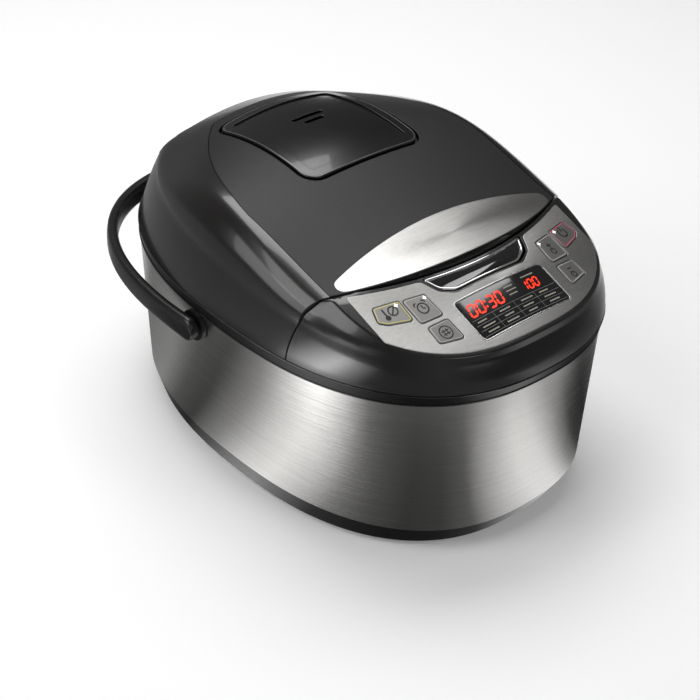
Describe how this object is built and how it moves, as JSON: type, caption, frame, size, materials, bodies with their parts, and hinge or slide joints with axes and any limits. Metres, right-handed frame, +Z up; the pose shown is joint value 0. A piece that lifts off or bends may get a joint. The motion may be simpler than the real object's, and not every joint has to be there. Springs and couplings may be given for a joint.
{
  "type": "electric multicooker",
  "caption": "Countertop electric multicooker: hinged lid over a round pot, sloping key and display console, steel body and a swinging U-shaped carry handle.",
  "frame": {"origin": "on the table plane under the middle of the object's footprint, which is also below the pot's axis", "axes": "+Z up, -Y towards the console and the user, +X to the user's right"},
  "size_m": [0.3132, 0.412, 0.2335],
  "materials": {
    "brushed_steel": "horizontally brushed stainless sheet",
    "satin_black_plastic": "satin moulded ABS",
    "matte_charcoal_plastic": "fine matte moulded ABS",
    "gloss_black_plastic": "high gloss moulded ABS",
    "silver_panel": "brushed anodised sheet",
    "key_silver": "painted key cap",
    "chromed_plastic": "chromed trim",
    "display_glass": "dark tinted window",
    "rubber_black": "matte rubber",
    "silicone": "translucent silicone",
    "pot_coating": "speckled non-stick coating",
    "aluminium_cast": "cast and machined",
    "aluminium_sheet": "pressed sheet",
    "zinc_steel": "zinc plated",
    "spring_steel": "drawn wire",
    "circuit_board": "solder mask",
    "component_black": "moulded component",
    "brass_contact": "bare contact",
    "clear_plastic": "clear moulded cup"
  },
  "bodies": {
    "base": {"base_tray": "satin_black_plastic", "rubber_feet": "rubber_black", "base_screws": "zinc_steel", "outer_shell": "brushed_steel", "top_ring": "satin_black_plastic", "inner_liner": "zinc_steel", "plate_posts": "zinc_steel", "heating_plate": "aluminium_cast", "heating_element": "zinc_steel", "sensor_guide": "zinc_steel", "sensor_spring": "spring_steel", "inner_pot": "pot_coating", "console_housing": "gloss_black_plastic", "console_screws": "zinc_steel", "console_panel": "silver_panel", "display_window": "display_glass", "display_module": "component_black", "control_board": "circuit_board", "tact_switches": "component_black", "button_spring": "spring_steel", "latch_frame": "zinc_steel", "latch_pin": "zinc_steel", "hinge_bracket": "zinc_steel", "hinge_pin": "zinc_steel", "hinge_spring": "spring_steel", "rear_cover": "satin_black_plastic", "handle_pivots": "satin_black_plastic", "power_inlet": "satin_black_plastic", "inlet_pins": "brass_contact", "power_board": "circuit_board", "board_slots": "satin_black_plastic", "thermal_fuse": "component_black", "cup_shelf": "satin_black_plastic"},
    "pot_sensor": {"pot_sensor": "aluminium_sheet"},
    "lid": {"lid_shell": "gloss_black_plastic", "lid_top_panel": "matte_charcoal_plastic", "trim_plate": "silver_panel", "vent_well": "satin_black_plastic", "lid_seal": "silicone", "inner_lid": "aluminium_sheet", "lid_liner": "satin_black_plastic", "steam_tube": "silicone", "steam_valve": "satin_black_plastic", "lid_catch": "zinc_steel", "hinge_arms": "satin_black_plastic"},
    "vent_cover": {"vent_cover": "gloss_black_plastic"},
    "carry_handle": {"carry_handle": "satin_black_plastic"},
    "release_button": {"release_button": "chromed_plastic", "button_stem": "satin_black_plastic"},
    "latch_hook": {"latch_hook": "satin_black_plastic"},
    "condensate_cup": {"condensate_cup": "clear_plastic"},
    "key_cancel": {"key_cancel": "key_silver"},
    "key_timer": {"key_timer": "key_silver"},
    "key_menu": {"key_menu": "key_silver"},
    "key_start": {"key_start": "key_silver"},
    "key_hour": {"key_hour": "key_silver"},
    "key_minute": {"key_minute": "key_silver"}
  },
  "joints": [
    {"name": "lid_hinge", "type": "hinge", "parent": "base", "child": "lid", "pos_m": [0, 0.151, 0.172], "axis": [-1, 0, 0], "range_deg": [0, 82]},
    {"name": "handle_swing", "type": "hinge", "parent": "base", "child": "carry_handle", "pos_m": [0, 0.011, 0.126], "axis": [1, 0, 0], "range_deg": [0, 90]},
    {"name": "vent_cover_lift", "type": "slide", "parent": "lid", "child": "vent_cover", "axis": [0, 0, 1], "range_m": [0, 0.03]},
    {"name": "button_press", "type": "slide", "parent": "base", "child": "release_button", "axis": [0, 0, -1], "range_m": [0, 0.003], "stiffness_N_per_m": 600, "springref_m": -0.002, "deforming": ["button_spring"]},
    {"name": "latch_turn", "type": "hinge", "parent": "base", "child": "latch_hook", "pos_m": [0, -0.1365, 0.1596], "axis": [1, 0, 0], "range_deg": [0, 8]},
    {"name": "sensor_press", "type": "slide", "parent": "base", "child": "pot_sensor", "axis": [0, 0, 1], "range_m": [-0.002, 0], "stiffness_N_per_m": 500, "springref_m": 0.004, "deforming": ["sensor_spring"]},
    {"name": "cup_slide", "type": "slide", "parent": "base", "child": "condensate_cup", "axis": [0, 1, 0], "range_m": [0, 0.03]},
    {"name": "key_cancel_press", "type": "slide", "parent": "base", "child": "key_cancel", "axis": [0, 0, -1], "range_m": [0, 0.0006], "stiffness_N_per_m": 800, "springref_m": -0.0008},
    {"name": "key_timer_press", "type": "slide", "parent": "base", "child": "key_timer", "axis": [0, 0, -1], "range_m": [0, 0.0006], "stiffness_N_per_m": 800, "springref_m": -0.0008},
    {"name": "key_menu_press", "type": "slide", "parent": "base", "child": "key_menu", "axis": [0, 0, -1], "range_m": [0, 0.0006], "stiffness_N_per_m": 800, "springref_m": -0.0008},
    {"name": "key_start_press", "type": "slide", "parent": "base", "child": "key_start", "axis": [0, 0, -1], "range_m": [0, 0.0006], "stiffness_N_per_m": 800, "springref_m": -0.0008},
    {"name": "key_hour_press", "type": "slide", "parent": "base", "child": "key_hour", "axis": [0, 0, -1], "range_m": [0, 0.0006], "stiffness_N_per_m": 800, "springref_m": -0.0008},
    {"name": "key_minute_press", "type": "slide", "parent": "base", "child": "key_minute", "axis": [0, 0, -1], "range_m": [0, 0.0006], "stiffness_N_per_m": 800, "springref_m": -0.0008}
  ],
  "couplings": [
    {"joint": "latch_turn", "follows": "button_press", "rad_per_m": 46.5}
  ]
}
